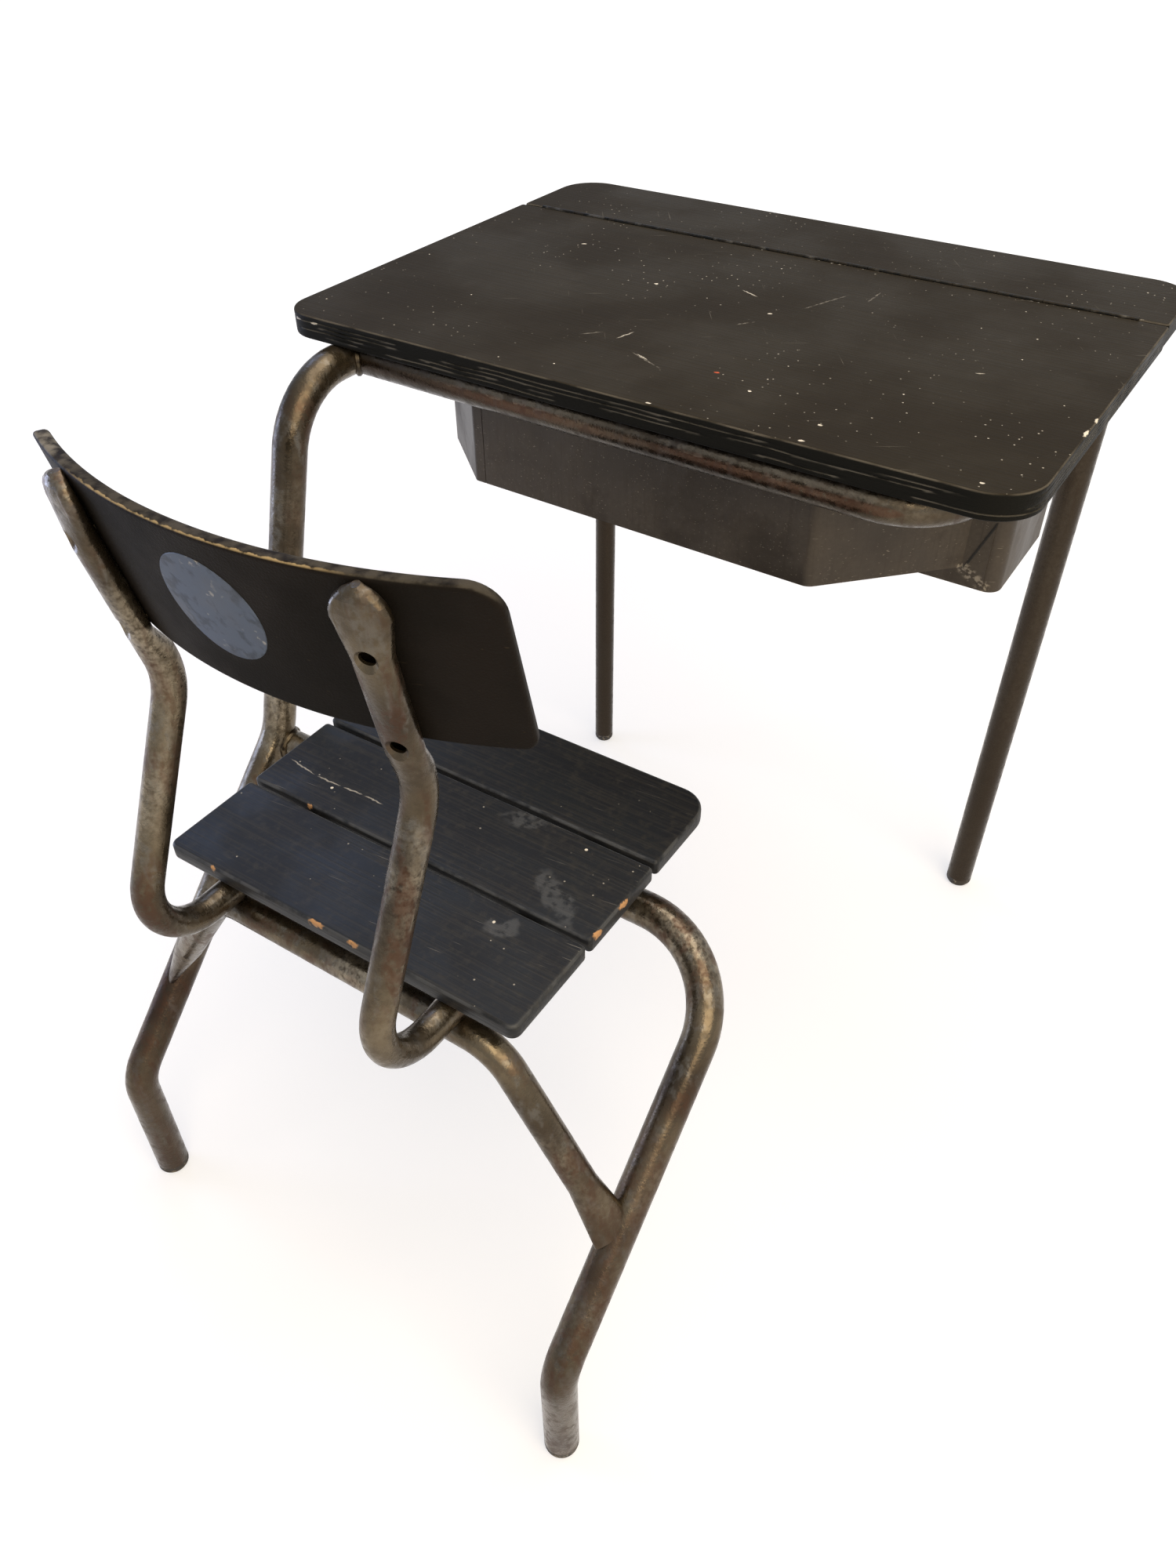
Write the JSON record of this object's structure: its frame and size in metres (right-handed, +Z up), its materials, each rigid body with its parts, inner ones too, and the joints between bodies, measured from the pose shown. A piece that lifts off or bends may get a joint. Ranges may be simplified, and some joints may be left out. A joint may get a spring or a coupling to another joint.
{
  "type": "school desk with attached chair",
  "caption": "Old school desk and chair on one welded tube frame: black wooden table with a lift-up lid over a sheet steel tray, slatted seat and curved backrest.",
  "frame": {"origin": "on the floor at the centre of the desk's footprint box", "axes": "+X to the pupil's right, +Y from the chair to the far edge of the table, +Z up"},
  "size_m": [0.65, 0.8884, 0.7915],
  "materials": {
    "bare_tube": "bare steel with a brown patina and rust stains",
    "sheet_steel": "dull brown-grey, scratched",
    "black_board": "satin black paint, scratched and specked",
    "black_slat": "satin black paint, chipped at the edges",
    "black_panel": "matt black paint, worn at the top edge",
    "hinge_steel": "worn steel",
    "screw_steel": "worn steel",
    "plug_rubber": "matt black"
  },
  "bodies": {
    "base": {"back_tube_left": "bare_tube", "back_tube_right": "bare_tube", "backrest_panel": "black_panel", "backrest_screws": "screw_steel", "chair_front_tube": "bare_tube", "chair_left_foot": "plug_rubber", "chair_rear_brace": "bare_tube", "chair_right_foot": "plug_rubber", "far_left_foot": "plug_rubber", "far_left_leg": "bare_tube", "far_right_foot": "plug_rubber", "hinge_pin": "hinge_steel", "hinge_rear_leaf": "hinge_steel", "hinge_rear_screws": "screw_steel", "left_frame_tube": "bare_tube", "left_rail_plug": "plug_rubber", "rear_board": "black_board", "rear_board_screws": "screw_steel", "rear_board_tabs": "bare_tube", "rear_cross_rail": "bare_tube", "right_frame_tube": "bare_tube", "seat_screws": "screw_steel", "seat_slat_front": "black_slat", "seat_slat_middle": "black_slat", "seat_slat_rear": "black_slat", "tray_back": "sheet_steel", "tray_flap": "sheet_steel", "tray_floor": "sheet_steel", "tray_front": "sheet_steel", "tray_left_side": "sheet_steel", "tray_left_wing": "sheet_steel", "tray_right_side": "sheet_steel", "tray_shelf": "sheet_steel", "tray_step": "sheet_steel"},
    "lid": {"lid_board": "black_board", "hinge_lid_leaf": "hinge_steel", "hinge_lid_screws": "screw_steel"}
  },
  "joints": [
    {"name": "lid_hinge", "type": "hinge", "parent": "base", "child": "lid", "pos_m": [0, 0.33375, 0.74], "axis": [-1, 0, 0], "range_deg": [0, 100]}
  ]
}
